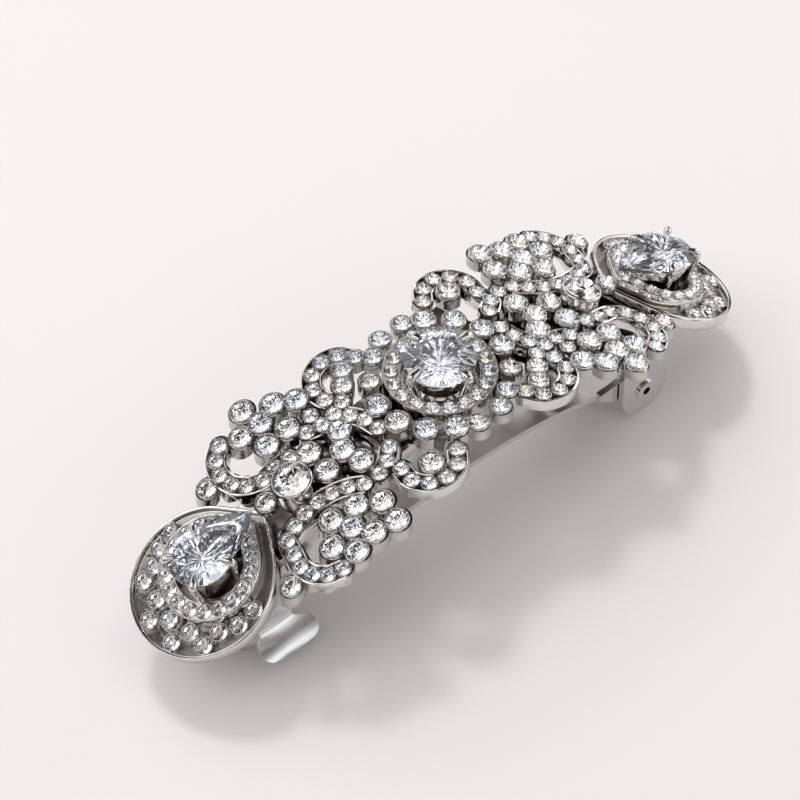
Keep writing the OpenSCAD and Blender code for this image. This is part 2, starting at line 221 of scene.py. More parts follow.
def rims(name, seat_rows, finish, body, level, lip=LIP, segments=14):
    """A rolled lip round each stone: a short profile turned about the stone's axis."""
    feet, axes, radii, _ = seat_rows
    a = np.arange(segments) * 2 * math.pi / segments
    profile = np.array(lip)
    pts = np.stack([np.outer(np.cos(a), profile[:, 0]), np.outer(np.sin(a), profile[:, 0]),
                    np.tile(profile[:, 1], (segments, 1))], axis=-1).reshape(-1, 3)
    faces = grid_faces(segments, len(lip), close_rows=True)
    centres = feet + axes * level
    verts, all_faces = copies(pts, faces, centres, axes, radii, golden_turns(len(feet)))
    return make_piece(name, verts, all_faces, [finish], body)


def grain_template(rings=3, segments=6, lowest=-0.5, highest=math.pi / 2 * 0.72):
    """The upper part of a small ball of unit radius, as rings that close at the pole."""
    lat = np.linspace(lowest, highest, rings)
    lon = np.arange(segments) * 2 * math.pi / segments
    pts = np.stack([np.outer(np.cos(lat), np.cos(lon)), np.outer(np.cos(lat), np.sin(lon)),
                    np.tile(np.sin(lat)[:, None], (1, segments))], axis=-1).reshape(-1, 3)
    pts = np.vstack([pts, [[0, 0, 1]]])
    faces = [tuple(f[::-1]) for f in grid_faces(rings, segments, close_cols=True)]
    top = (rings - 1) * segments
    faces += [(top + k, top + (k + 1) % segments, rings * segments) for k in range(segments)]
    return pts, faces


def grains(name, seat_rows, finish, body, level, per_stone=4, size=0.19 * MM, reach=0.98):
    """Beads raised from the metal that hold each stone's edge, evenly round its girdle."""
    feet, axes, radii, _ = seat_rows
    pts, faces = grain_template()
    at, up = [], []
    for k in range(len(feet)):
        u, v = frame_across(axes[k])
        a = golden_turns(len(feet))[k] + np.arange(per_stone) * 2 * math.pi / per_stone
        at.append(feet[k] + axes[k] * level
                  + radii[k] * reach * (np.outer(np.cos(a), u) + np.outer(np.sin(a), v)))
        up.append(np.tile(axes[k], (per_stone, 1)))
    at, up = np.concatenate(at), np.concatenate(up)
    verts, all_faces = copies(pts, faces, at, up, np.full(len(at), size), golden_turns(len(at)))
    return make_piece(name, verts, all_faces, [finish], body)


# ---- shader groups ----

def new_group(name, inputs, outputs):
    """An empty node group with its sockets, its input node and its output node."""
    group = bpy.data.node_groups.new(name, "ShaderNodeTree")
    for label, kind, value in inputs:
        s = group.interface.new_socket(label, in_out="INPUT", socket_type=kind)
        s.default_value = value
    for label, kind in outputs:
        group.interface.new_socket(label, in_out="OUTPUT", socket_type=kind)
    return group, group.nodes.new("NodeGroupInput"), group.nodes.new("NodeGroupOutput")


def surface_wear():
    """Fine marks of handling and plating: a roughness, a tint and a height."""
    group, gin, out = new_group(
        "plating_marks",
        [("Grain", "NodeSocketFloat", 900.0), ("Smooth", "NodeSocketFloat", 0.08),
         ("Dull", "NodeSocketFloat", 0.2), ("Light", "NodeSocketColor", (0.8, 0.8, 0.8, 1)),
         ("Dark", "NodeSocketColor", (0.6, 0.58, 0.56, 1))],
        [("Roughness", "NodeSocketFloat"), ("Tint", "NodeSocketColor"),
         ("Height", "NodeSocketFloat")])
    n, link = group.nodes, group.links.new
    place = n.new("ShaderNodeTexCoord")
    fine = n.new("ShaderNodeTexNoise")
    broad = n.new("ShaderNodeTexNoise")
    fine.inputs["Detail"].default_value = 4
    broad.inputs["Scale"].default_value = 160
    broad.inputs["Detail"].default_value = 3
    link(place.outputs["Object"], fine.inputs["Vector"])
    link(place.outputs["Object"], broad.inputs["Vector"])
    link(gin.outputs["Grain"], fine.inputs["Scale"])
    rough = n.new("ShaderNodeMapRange")
    rough.inputs["From Min"].default_value = 0.3
    rough.inputs["From Max"].default_value = 0.7
    link(broad.outputs["Fac"], rough.inputs["Value"])
    link(gin.outputs["Smooth"], rough.inputs["To Min"])
    link(gin.outputs["Dull"], rough.inputs["To Max"])
    tint = n.new("ShaderNodeMix")
    tint.data_type = "RGBA"
    link(fine.outputs["Fac"], tint.inputs["Factor"])
    link(gin.outputs["Light"], tint.inputs["A"])
    link(gin.outputs["Dark"], tint.inputs["B"])
    link(rough.outputs["Result"], out.inputs["Roughness"])
    link(tint.outputs["Result"], out.inputs["Tint"])
    link(fine.outputs["Fac"], out.inputs["Height"])
    return group


MARKS = surface_wear()


def new_material(name):
    """A material with its nodes, its way to link them and its main shader."""
    mat = bpy.data.materials.new(name)
    mat.use_nodes = True
    nodes = mat.node_tree.nodes
    return mat, nodes, mat.node_tree.links.new, nodes["Principled BSDF"]


def metal(name, light, dark, smooth, dull, grain=900.0, bump=0.02, stretch=None):
    """Plated metal. A stretch makes the marks into a fine brushed line along X."""
    mat, n, link, shader = new_material(name)
    marks = n.new("ShaderNodeGroup")
    marks.node_tree = MARKS
    marks.inputs["Grain"].default_value = grain
    marks.inputs["Smooth"].default_value = smooth
    marks.inputs["Dull"].default_value = dull
    marks.inputs["Light"].default_value = (*light, 1)
    marks.inputs["Dark"].default_value = (*dark, 1)
    shader.inputs["Metallic"].default_value = 1.0
    relief = n.new("ShaderNodeBump")
    relief.inputs["Strength"].default_value = bump
    relief.inputs["Distance"].default_value = 0.0001
    link(marks.outputs["Tint"], shader.inputs["Base Color"])
    link(marks.outputs["Roughness"], shader.inputs["Roughness"])
    if stretch:
        place = n.new("ShaderNodeTexCoord")
        turn = n.new("ShaderNodeMapping")
        turn.inputs["Scale"].default_value = stretch
        lines = n.new("ShaderNodeTexNoise")
        lines.inputs["Scale"].default_value = 1.0
        lines.inputs["Detail"].default_value = 3
        link(place.outputs["Object"], turn.inputs["Vector"])
        link(turn.outputs["Vector"], lines.inputs["Vector"])
        link(lines.outputs["Fac"], relief.inputs["Height"])
    else:
        link(marks.outputs["Height"], relief.inputs["Height"])
    link(relief.outputs["Normal"], shader.inputs["Normal"])
    return mat


def stone_tints(nodes, link, cell, shades):
    """A slightly different shade for each stone: cells of about a stone's size."""
    place = nodes.new("ShaderNodeTexCoord")
    cells = nodes.new("ShaderNodeTexVoronoi")
    cells.inputs["Scale"].default_value = cell
    ramp = nodes.new("ShaderNodeValToRGB")
    ramp.color_ramp.elements[0].color = (*shades[0], 1)
    ramp.color_ramp.elements[1].color = (*shades[-1], 1)
    for i, s in enumerate(shades[1:-1], 1):
        ramp.color_ramp.elements.new(i / (len(shades) - 1)).color = (*s, 1)
    split = nodes.new("ShaderNodeSeparateColor")
    link(place.outputs["Object"], cells.inputs["Vector"])
    link(cells.outputs["Color"], split.inputs["Color"])
    link(split.outputs["Red"], ramp.inputs["Fac"])
    return ramp.outputs["Color"]


def clear_stone(name, ior, cell, shades):
    """The part of a stone that light goes through."""
    mat, n, link, shader = new_material(name)
    shader.inputs["Transmission Weight"].default_value = 1.0
    shader.inputs["Roughness"].default_value = 0.0
    shader.inputs["IOR"].default_value = ior
    link(stone_tints(n, link, cell, shades), shader.inputs["Base Color"])
    return mat


def foil_back(name, cell, shades, roughness=0.08, mirror=1.0):
    """The mirrored back of a stone."""
    mat, n, link, shader = new_material(name)
    shader.inputs["Metallic"].default_value = mirror
    shader.inputs["Roughness"].default_value = roughness
    link(stone_tints(n, link, cell, shades), shader.inputs["Base Color"])
    return mat


# Patches of one shade, per metre: about one for each stone, and small ones under the largest
SMALL_STONE, LARGE_STONE, BACK_PATCH = 420, 160, 900

RHODIUM = metal("rhodium_casting", (0.80, 0.79, 0.77), (0.58, 0.56, 0.53), 0.05, 0.14, bump=0.15)
SHEET = metal("polished_sheet", (0.84, 0.83, 0.82), (0.74, 0.73, 0.72), 0.08, 0.2, bump=0.06,
              stretch=(300, 9000, 9000))
SPRING = metal("satin_spring_sheet", (0.80, 0.80, 0.80), (0.72, 0.72, 0.72), 0.16, 0.28,
               bump=0.05, stretch=(9000, 500, 500))
# The dish floor's darker, browner tint is painted shade in the recess, not a different metal.
RECESS_PAINTED_SHADE = metal("recess_painted_shade", (0.50, 0.46, 0.42), (0.26, 0.23, 0.20), 0.2, 0.45, grain=2200,
               bump=0.5)
CRYSTAL = clear_stone("chaton_crystal", 1.55, SMALL_STONE,
                      [(0.97, 0.98, 1.0), (1, 1, 1), (0.99, 0.97, 0.96)])
FOIL = foil_back("silver_foil", SMALL_STONE,
                 [(0.93, 0.95, 1.0), (0.98, 0.98, 0.98), (0.96, 0.93, 0.9)])
ZIRCONIA = clear_stone("cubic_zirconia", 1.75, LARGE_STONE,
                       [(0.96, 0.97, 1.0), (1, 1, 1), (0.98, 0.97, 1.0)])
ZIRCON_BACK = foil_back("zirconia_back", BACK_PATCH,
                        [(0.86, 0.90, 1.0), (1, 1, 1), (0.93, 0.94, 1.0)],
                        roughness=0.06, mirror=0.9)


def crushed_facets(mat, cell=600, strength=0.12):
    """Small flat facets under a large stone: cells that each tilt the surface a little."""
    nodes, link = mat.node_tree.nodes, mat.node_tree.links.new
    place = nodes.new("ShaderNodeTexCoord")
    cells = nodes.new("ShaderNodeTexVoronoi")
    cells.inputs["Scale"].default_value = cell
    relief = nodes.new("ShaderNodeBump")
    relief.inputs["Strength"].default_value = strength
    relief.inputs["Distance"].default_value = 0.0003
    link(place.outputs["Object"], cells.inputs["Vector"])
    link(cells.outputs["Distance"], relief.inputs["Height"])
    link(relief.outputs["Normal"], nodes["Principled BSDF"].inputs["Normal"])


crushed_facets(ZIRCON_BACK)
# A darker, browner tint for castings that lie deep between the stones: painted shade.
DEEP_PAINTED_SHADE = metal("deep_painted_shade", (0.70, 0.68, 0.65), (0.40, 0.37, 0.34), 0.07, 0.2, bump=0.2)


def cad_finish(node):
    """Castings that lie deep between the stones take a darker tint as painted shade, the two spring
    parts are satin, the rest is sheet.
    """
    if node in ("catch_plate", "tension_spring"):
        return SPRING
    if any(part in node for part in ("scrollwork", "tier", "halo_ring", "bezel_cup")):
        return DEEP_PAINTED_SHADE
    return SHEET


for node in cad:
    cad[node].data.materials.clear()
    cad[node].data.materials.append(cad_finish(node))


# ---- teardrop pieces ----

CRESCENT_FOOT = 0.7 * MM          # foot of a crescent stone above the bar
ROUND_STEPS, SIDE_STEPS, TIP_STEPS = 97, 8, 9      # points along a teardrop's stretches


def teardrop_frame(side, s):
    """Origin on the bar's upper face under the round end, and the plane's own directions.

    The plane's normal is the shared axis of the halo stones. Along it, the point lies
    towards the middle of the clip. Heights count from the foot of the crescent stones,
    which stand a known way above the bar.
    """
    feet, axes, _, _ = seats(side + "_crescent_stones")
    normal = axes.mean(axis=0)
    normal /= np.linalg.norm(normal)
    along = np.cross(ACROSS, normal) * s
    across = ACROSS * s
    base = feet[0] @ normal - CRESCENT_FOOT
    return normal, along, across, base


def outline_size(node, normal, along, across):
    """Radius of a teardrop node's round end, and where it starts and ends along its length."""
    points, _ = corners(node)
    length = points @ along
    r = np.ptp(points @ across) / 2
    return r, length.min() + r, length.max()


def teardrop_points(r, tip, tip_r):
    """Points and outward normals round a teardrop: a round end of radius r about the origin,
    a small arc of radius tip_r whose far edge is at tip, and straight sides between them."""
    reach = tip - tip_r
    a = math.acos((r - tip_r) / reach)
    turn = np.concatenate([np.linspace(a, 2 * math.pi - a, ROUND_STEPS), np.full(SIDE_STEPS, -a),
                           np.linspace(-a, a, TIP_STEPS), np.full(SIDE_STEPS, a)])
    outbound = np.linspace(0.1, 0.9, SIDE_STEPS)
    share = np.concatenate([np.zeros(ROUND_STEPS), outbound, np.ones(TIP_STEPS),
                            np.linspace(0.9, 0.1, SIDE_STEPS)])
    normals = np.stack([np.cos(turn), np.sin(turn)], axis=1)
    size = r + (tip_r - r) * share
    points = normals * size[:, None]
    points[:, 0] += reach * share
    return points, normals


def teardrop_piece(name, place, r, tip, tip_r, start, profile, finish, replaces=(),
                   ring=False, floor=None, lean=0.0):
    """A profile of (inset, height) pairs carried round a teardrop. Its ends close as flat faces,
    or meet each other when the piece is a ring. The last flat face may have its own material, which
    the dish uses for a darker floor that is painted shade.
    A lean raises the top, but not the foot, in proportion to the distance from the tip."""
    normal, along, across, base = place
    points, out = teardrop_points(r, tip, tip_r)
    flat = np.stack([points - inset * out for inset, _ in profile])
    h = np.array([height for _, height in profile])[:, None]
    share = (h - h.min()) / (h.max() - h.min())
    h = h + share * lean * (tip - flat[..., 0])
    verts = ((flat[..., 0] + start)[..., None] * along + flat[..., 1:2] * across
             + (base + h)[..., None] * normal).reshape(-1, 3)
    rows, cols = len(profile), len(points)
    faces = [tuple(f) for f in grid_faces(rows, cols, close_rows=ring, close_cols=True)]
    if not ring:
        faces += [tuple(range(cols)), tuple(range((rows - 1) * cols, rows * cols))[::-1]]
    mats = np.zeros(len(faces), dtype=int)
    if floor:
        mats[-1] = 1
    piece = make_piece(name, verts, faces, [finish, floor] if floor else [finish], BODY,
                       replaces, face_mats=mats)
    tidy_normals(piece)
    return piece


def tidy_normals(piece):
    """Turns every face outwards and keeps the sharp edges crisp."""
    work = bmesh.new()
    work.from_mesh(piece.data)
    bmesh.ops.recalc_face_normals(work, faces=work.faces)
    work.to_mesh(piece.data)
    work.free()
    piece.data.set_sharp_from_angle(angle=CRISP)


def sweep(paths, thick, sides=10):
    """Round bars along planar paths, one per row of points. Each ring of points is square to the
    path, and each bar ends in a small flat face."""
    verts, faces = [], []
    a = np.arange(sides) * 2 * math.pi / sides
    for path, plane in paths:
        tangent = np.gradient(path, axis=0)
        tangent /= np.linalg.norm(tangent, axis=1)[:, None]
        inner = np.cross(plane, tangent)
        ring = (np.cos(a)[None, :, None] * inner[:, None, :]
                + np.sin(a)[None, :, None] * np.asarray(plane)[None, None, :])
        pts = path[:, None, :] + ring * np.asarray(thick)[:, None, None]
        first = sum(len(v) for v in verts)
        rows = len(path)
        verts.append(pts.reshape(-1, 3))
        faces += [tuple(first + k for k in f) for f in grid_faces(rows, sides, close_cols=True)]
        faces += [tuple(first + k for k in range(sides))[::-1],
                  tuple(first + (rows - 1) * sides + k for k in range(sides))]
    return np.concatenate(verts), faces


def smooth_path(points, steps=5):
    """A Catmull-Rom curve through the points."""
    p = np.vstack([2 * points[0] - points[1], points, 2 * points[-1] - points[-2]])
    t = np.linspace(0, 1, steps, endpoint=False)[:, None, None]
    a, b, c, d = p[:-3], p[1:-2], p[2:-1], p[3:]
    curve = 0.5 * (2 * b + (c - a) * t + (2 * a - 5 * b + 4 * c - d) * t ** 2
                   + (3 * b - a - 3 * c + d) * t ** 3)
    return np.vstack([curve.transpose(1, 0, 2).reshape(-1, points.shape[1]), points[-1:]])


# ---- the ornament: small stones ----

CHATON = brilliant(table=0.56, crown=0.36, girdle=0.06, depth=0.62)
FANCY = brilliant(table=0.50, crown=0.27, girdle=0.05, depth=0.60, mains=16)

# Height in mm of the girdle above the foot of the plain stone, by kind
GIRDLE = {"pave": 0.56, "halo": 0.56, "flower": 0.86, "bud": 0.74, "crescent": 0.98}
GRAIN_STAND = 0.04                # mm from the girdle up to the middle of a grain
COLLET_FOOT = 0.3                 # mm from the plain stone's foot up to the collet's lower edge
BEZEL_GIRDLE = 1.1 * MM
BEZEL_LIP = [(1.0, -0.1), (1.0, 0.0), (1.04, 0.04), (1.1, 0.02), (1.16, -0.06), (1.17, -0.5)]


def small_stones(group):
    """Cut stones of one size, each in a collet that reaches down to the casting."""
    height = [GIRDLE[kind] for kind in GIRDLE if kind in group][0]
    rows = set_stones(group, BODY, CRYSTAL, FOIL, CHATON, height * MM)
    collet = LIP[:-1] + [(1.14, -0.2), (1.17, -(height - COLLET_FOOT) * MM / rows[2][0])]
    rims(group.replace("_stones", "_rims"), rows, RHODIUM, BODY, height * MM, lip=collet)
    grains(group.replace("_stones", "_grains"), rows, RHODIUM, BODY, (height + GRAIN_STAND) * MM)


def bezel_stone(group):
    """The larger stone beside each teardrop, under a smooth rolled bezel."""
    rows = set_stones(group, BODY, CRYSTAL, FOIL, CHATON, BEZEL_GIRDLE)
    rims(group.replace("_stone", "_rim"), rows, RHODIUM, BODY, BEZEL_GIRDLE, segments=32,
         lip=BEZEL_LIP)


for group in [n for n in cad if n.endswith("_stones")]:
    small_stones(group)
for group in ("near_bezel_stone", "far_bezel_stone"):
    bezel_stone(group)


# ---- the ornament: centre stone ----

CENTRE_GIRDLE = 2.85 * MM         # above the plain stone's foot
CENTRE_TURN = 0.2                 # radians from the X axis to a corner of the table
CENTRE_CLAWS = np.radians([4, 94, 184, 274])

# A claw from its foot to its point, as (outward, upward) from the girdle's edge, and its radii
CLAW = np.array([(-0.45, -3.35), (-0.1, -2.2), (0.22, -1.1), (0.42, -0.4), (0.46, 0.0),
                 (0.34, 0.34), (-0.25, 0.54), (-0.98, 0.70)]) * MM
CLAW_R = np.array([0.56, 0.56, 0.56, 0.58, 0.60, 0.61, 0.58, 0.38]) * MM
CLAW_TAPER = np.interp(np.linspace(0, 1, len(smooth_path(CLAW))),
                       np.linspace(0, 1, len(CLAW_R)), CLAW_R)

# The centre gallery's section, as (radius, height). Its first point stands level with the foot
# of the plain setting.
GALLERY = np.array([(4.35, 0.5), (4.4, 0.6), (4.38, 0.85), (4.2, 0.98), (3.4, 1.02), (3.05, 1.15),
                    (2.9, 1.5), (2.9, 1.9), (3.05, 2.3), (3.25, 2.6), (3.3, 2.8), (3.2, 2.95),
                    (2.95, 2.95), (2.6, 2.4), (2.4, 1.6), (2.4, 0.5)]) * MM


def large_stone(name, node, verts):
    """A large cut stone with a clear crown and a mirrored pavilion."""
    make_piece(name, verts, FANCY[1], [ZIRCONIA, ZIRCON_BACK], BODY, (node,),
               smooth=False, face_mats=np.where(np.arange(len(FANCY[1])) < FANCY[2], 0, 1))


def claw_path(root, outward, upward, scale=1.0, drop=1.0):
    """A claw's line from (outward, upward) steps about the girdle's edge at root."""
    step = CLAW * scale
    step[:, 1] = np.where(step[:, 1] < 0, step[:, 1] * drop, step[:, 1])
    line = smooth_path(step)
    path = root + line[:, :1] * outward + line[:, 1:] * upward
    return path, np.cross(outward, upward)


def claws(name, paths, taper):
    """Round bars that thin towards their points, one for each path."""
    verts, faces = sweep(paths, taper)
    tidy_normals(make_piece(name, verts, faces, [RHODIUM], BODY))


def centre_stone():
    """The round stone and the four claws that hold its girdle."""
    feet, _, radii, _ = seats("centre_stone")
    girdle_top = feet[0] + UP * CENTRE_GIRDLE
    verts, _ = copies(FANCY[0], FANCY[1], [girdle_top], [UP], [radii[0]], [CENTRE_TURN])
    large_stone("centre_stone_cut", "centre_stone", verts)
    paths = []
    for angle in CENTRE_CLAWS:
        outward = np.array([math.cos(angle), math.sin(angle), 0.0])
        paths.append(claw_path(girdle_top + outward * radii[0], outward, UP))
    claws("centre_claws", paths, CLAW_TAPER)


def centre_gallery(turns=72):
    """A waisted ring on a flat foot that the centre stone's pavilion stands in."""
    a = np.arange(turns) * 2 * math.pi / turns
    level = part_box("centre_setting")[0].z - GALLERY[0, 1]
    r, z = GALLERY.T
    verts = np.stack([np.outer(np.cos(a), r), np.outer(np.sin(a), r),
                      np.tile(z + level, (turns, 1))], axis=-1).reshape(-1, 3)
    faces = grid_faces(turns, len(r), close_rows=True, close_cols=True)
    tidy_normals(make_piece("centre_gallery", verts, faces, [RHODIUM], BODY,
                            ("centre_setting",)))


centre_stone()
centre_gallery()


# ---- the ornament: teardrop ends ----

def in_mm(*pairs):
    """(inset, height above the bar) pairs of a section, given in millimetres."""
    return [(inset * MM, height * MM) for inset, height in pairs]


DISH_TIP_R = 0.6 * MM
DISH_FLOOR = 1.2 * MM             # above the bar
DISH_SECTION = in_mm((0.5, 0.3), (0.1, 0.34), (0, 0.5), (0, 1.62), (0.05, 1.8), (0.16, 1.9),
                     (0.34, 1.9), (0.46, 1.82), (0.52, 1.66), (0.54, 1.22), (0.59, 1.2))
TIER_TIP_R = 1.0 * MM
TIER_SECTION = in_mm((-0.04, 1.2), (-0.04, 2.72), (0, 2.88), (0.07, 2.95), (0.15, 2.93),
                     (0.15, 1.3))

# A keeled leaf of unit size: its outline, then its ridge
LEAF = np.array([(-1.6, 0, 0), (-0.9, 0.3, 0), (0.0, 0.36, 0), (0.9, 0.3, 0), (1.6, 0, 0),
                 (0.9, -0.3, 0), (0.0, -0.36, 0), (-0.9, -0.3, 0),
                 (-1.0, 0, 0.7), (0.0, 0, 0.95), (1.0, 0, 0.7)])
LEAF_FACES = [(0, 8, 1), (1, 8, 9, 2), (2, 9, 10, 3), (3, 10, 4), (4, 10, 5), (5, 10, 9, 6),
              (6, 9, 8, 7), (7, 8, 0)]
LEAF_REACH = 3.3 * MM             # stones closer than this have a leaf between them
LEAF_FOOT = 0.5 * MM              # above the stones' feet
LEAF_SIZE, LEAF_VARIES = 0.9, 0.12

PEAR_TIP_R = 0.4 * MM
PEAR_TILT = math.radians(13)
PEAR_CROWN = 0.91 * MM            # plain stone's top above its girdle's upper edge
PEAR_FULLNESS = 1.9               # 2 or less swells the pear's sides outwards
PEAR_CLAWS = np.radians([60, 140, 220, 300])
PEAR_CLAW_SCALE, PEAR_CLAW_THICK = 0.8, 0.85       # against the centre's claws
PEAR_GALLERY_R, PEAR_GALLERY_LENGTH, PEAR_GALLERY_TIP_R = 3.3 * MM, 5.2 * MM, 0.5 * MM
PEAR_GALLERY_SECTION = in_mm((0, 1.2), (-0.25, 1.3), (-0.3, 1.5), (-0.1, 1.7), (0.15, 2.6),
                             (0.0, 3.5), (-0.15, 4.0), (-0.1, 4.15), (0.2, 4.15), (0.4, 3.6),
                             (0.5, 1.3))


def leaf_shards(side, place):
    """Narrow keeled leaves that fill the gaps between neighbouring stones of the dish."""
    normal = place[0]
    feet, _, _, _ = seats(side + "_crescent_stones")
    u, v = frame_across(normal)
    at, turns = [], []
    for i in range(len(feet)):
        for j in range(i):
            gap = feet[i] - feet[j]
            if np.linalg.norm(gap) < LEAF_REACH:
                line = np.cross(normal, gap)
                at.append((feet[i] + feet[j]) / 2 + normal * LEAF_FOOT)
                turns.append(math.atan2(line @ v, line @ u))
    count = len(at)
    sizes = MM * (LEAF_SIZE + LEAF_VARIES * np.sin(golden_turns(count)))
    verts, faces = copies(LEAF, LEAF_FACES, np.array(at), np.tile(normal, (count, 1)), sizes,
                          turns)
    make_piece(side + "_leaf_shards", verts, faces, [SPRING], BODY,
               smooth=False)


def dish_shell(side, place):
    """A rolled rim round a flat floor, which is painted darker than the rim as shade in the recess.
    """
    r, start, tip = outline_size(side + "_teardrop_dish", *place[:3])
    # The floor's darker material is painted shade.
    teardrop_piece(side + "_teardrop_dish_shell", place, r, tip - start, DISH_TIP_R, start,
                   DISH_SECTION, RHODIUM, (side + "_teardrop_dish",),
                   floor=RECESS_PAINTED_SHADE)


def tier_wall(side, place):
    """The smooth wall round the raised tier of halo stones."""
    r, start, tip = outline_size(side + "_halo_tier", *place[:3])
    teardrop_piece(side + "_halo_tier_wall", place, r, tip - start, TIER_TIP_R, start,
                   TIER_SECTION, RHODIUM, ring=True)


def pear_seat(side, place):
    """The pear's own plane, turned about a line across its point so that its round end stands
    higher: its normal, its direction to the point, the round end's radius and middle, the
    point, and the girdle's height, which is the plain stone's top less its crown."""
    normal, along, across, _ = place
    rising = math.cos(PEAR_TILT) * normal + math.sin(PEAR_TILT) * along
    falling = math.cos(PEAR_TILT) * along - math.sin(PEAR_TILT) * normal
    r, start, tip = outline_size(side + "_pear_stone", rising, falling, across)
    girdle = (corners(side + "_pear_stone")[0] @ rising).max() - PEAR_CROWN
    return rising, falling, r, start, tip, girdle


def pear_stone(side, place, seat):
    """The round cut with its girdle stretched to a pear's outline. The reach grows from 1, where
    the straight side starts, to the point, as a power of the angle's share."""
    across = place[2]
    rising, falling, r, start, tip, girdle = seat
    side_angle = math.acos((r - PEAR_TIP_R) / (tip - start - PEAR_TIP_R))
    cut = FANCY[0]
    angle = np.abs(np.arctan2(cut[:, 1], cut[:, 0]))
    share = np.clip(1 - angle / side_angle, 0, None) ** PEAR_FULLNESS
    reach = 1 + ((tip - start) / r - 1) * share
    flat = cut[:, :2] * reach[:, None] * r
    verts = ((start + flat[:, :1]) * falling + flat[:, 1:] * across
             + (girdle + cut[:, 2:] * r) * rising)
    large_stone(side + "_pear_stone_cut", side + "_pear_stone", verts)


def pear_claws(side, place, seat):
    """Four claws square to the pear's plane, each long enough to reach the dish's floor."""
    normal, _, across, base = place
    rising, falling, r, start, _, girdle = seat
    paths = []
    for angle in PEAR_CLAWS:
        outward = math.cos(angle) * falling + math.sin(angle) * across
        root = start * falling + girdle * rising + outward * r
        above_floor = root @ normal - base - DISH_FLOOR
        drop = above_floor / (-PEAR_CLAW_SCALE * CLAW[0, 1])
        paths.append(claw_path(root, outward, rising, PEAR_CLAW_SCALE, drop))
    claws(side + "_pear_claws", paths, CLAW_TAPER * PEAR_CLAW_THICK)


def pear_gallery(side, place, seat):
    """A waisted teardrop wall under the pear, with its top leaning as the pear does."""
    rising, falling, _, start, _, girdle = seat
    round_end = (start * falling + girdle * rising) @ place[1]
    teardrop_piece(side + "_pear_gallery", place, PEAR_GALLERY_R, PEAR_GALLERY_LENGTH,
                   PEAR_GALLERY_TIP_R, round_end, PEAR_GALLERY_SECTION, RHODIUM,
                   (side + "_pear_setting",), ring=True,
                   lean=math.tan(PEAR_TILT))


for side, s in SIDES:
    place = teardrop_frame(side, s)
    leaf_shards(side, place)
    dish_shell(side, place)
    tier_wall(side, place)
    seat = pear_seat(side, place)
    pear_stone(side, place, seat)
    pear_claws(side, place, seat)
    pear_gallery(side, place, seat)


# ---- the ornament: rails along the rows of small stones ----

RAIL = np.array([(-0.15, -1.5), (-0.16, -0.1), (-0.1, 0.03), (0, 0.07), (0.1, 0.03), (0.16, -0.1),
                 (0.15, -1.5)]) * MM         # (aside, up) from the middle of its top
RAIL_ASIDE = 1.1 * MM             # from the row's middle
RAIL_RISE = 0.5 * MM              # above the stones' feet
RAIL_ROOM = 0.12 * MM             # least gap to any stone
RAIL_LEAST = 5                    # points in the shortest rail
ROW_REACH = 2.1 * MM              # stones closer than this stand in one row
ROW_LEAST = 3                     # stones in the shortest row with rails


def in_rows(points, reach):
    """Splits points into rows in which each one is within reach of the next."""
    left = set(range(len(points)))
    gap = np.linalg.norm(points[:, None] - points[None], axis=2)
    rows = []
    while left:
        near = {i: [j for j in left if j != i and gap[i, j] < reach] for i in left}
        row = [min(left, key=lambda i: (len(near[i]), i))]
        left.discard(row[0])
        while True:
            ahead = [j for j in left if gap[row[-1], j] < reach]
            if not ahead:
                break
            row.append(min(ahead, key=lambda j: gap[row[-1], j]))
            left.discard(row[-1])
        rows.append(row)
    return rows


def clear_runs(rail, block, block_r):
    """The stretches of a rail that keep their room from every stone, as slices."""
    room = (np.linalg.norm(rail[:, None] - block[None], axis=2) - block_r[None]).min(axis=1)
    clear = room > RAIL_ROOM
    edges = np.flatnonzero(np.diff(np.concatenate([[0], clear.astype(int), [0]])))
    return [slice(lo, hi) for lo, hi in edges.reshape(-1, 2) if hi - lo >= RAIL_LEAST]


def band_rails(side):
    """Smooth walls along both sides of each row of small stones, where no other stone stands."""
    feet, axes, radii, _ = seats(side + "_pave_stones")
    others = [seats(side + n)[::2] for n in ("_flower_stones", "_bud_stones")]
    block = np.concatenate([feet] + [o[0] for o in others])
    block_r = np.concatenate([radii] + [o[1] for o in others])
    verts, faces = [], []
    for row in in_rows(feet, ROW_REACH):
        if len(row) < ROW_LEAST:
            continue
        line = smooth_path(feet[row], 6)
        rise = smooth_path(axes[row], 6)
        rise /= np.linalg.norm(rise, axis=1)[:, None]
        tangent = np.gradient(line, axis=0)
        tangent /= np.linalg.norm(tangent, axis=1)[:, None]
        beside = np.cross(rise, tangent)
        for hand in (-1, 1):
            rail = line + hand * beside * RAIL_ASIDE
            for run in clear_runs(rail, block, block_r):
                pts = (rail[run][:, None] + RAIL[None, :, :1] * beside[run][:, None]
                       + (RAIL[None, :, 1:] + RAIL_RISE) * rise[run][:, None])
                first = sum(len(v) for v in verts)
                count, cols = pts.shape[:2]
                verts.append(pts.reshape(-1, 3))
                faces += [tuple(first + k for k in f)
                          for f in grid_faces(count, cols, close_cols=True)]
                faces += [tuple(first + k for k in range(cols)),
                          tuple(first + (count - 1) * cols + k for k in range(cols))[::-1]]
    tidy_normals(make_piece(side + "_band_rails", np.concatenate(verts), faces, [RHODIUM], BODY))


for side, _ in SIDES:
    band_rails(side)


# ---- catch wings ----

WALL_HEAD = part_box("far_wing")[1].z                # the spring sheet's upper edge
WALL_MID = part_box("far_wing")[0].y + 0.25 * MM     # middle of the wall's thickness
SHEET_HALF = 0.2 * MM
WING_MIDDLE = [sum(corner.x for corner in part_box(node)) / 2     # X of the wall and of the ear
               for node in ("catch_plate", "far_wing")]

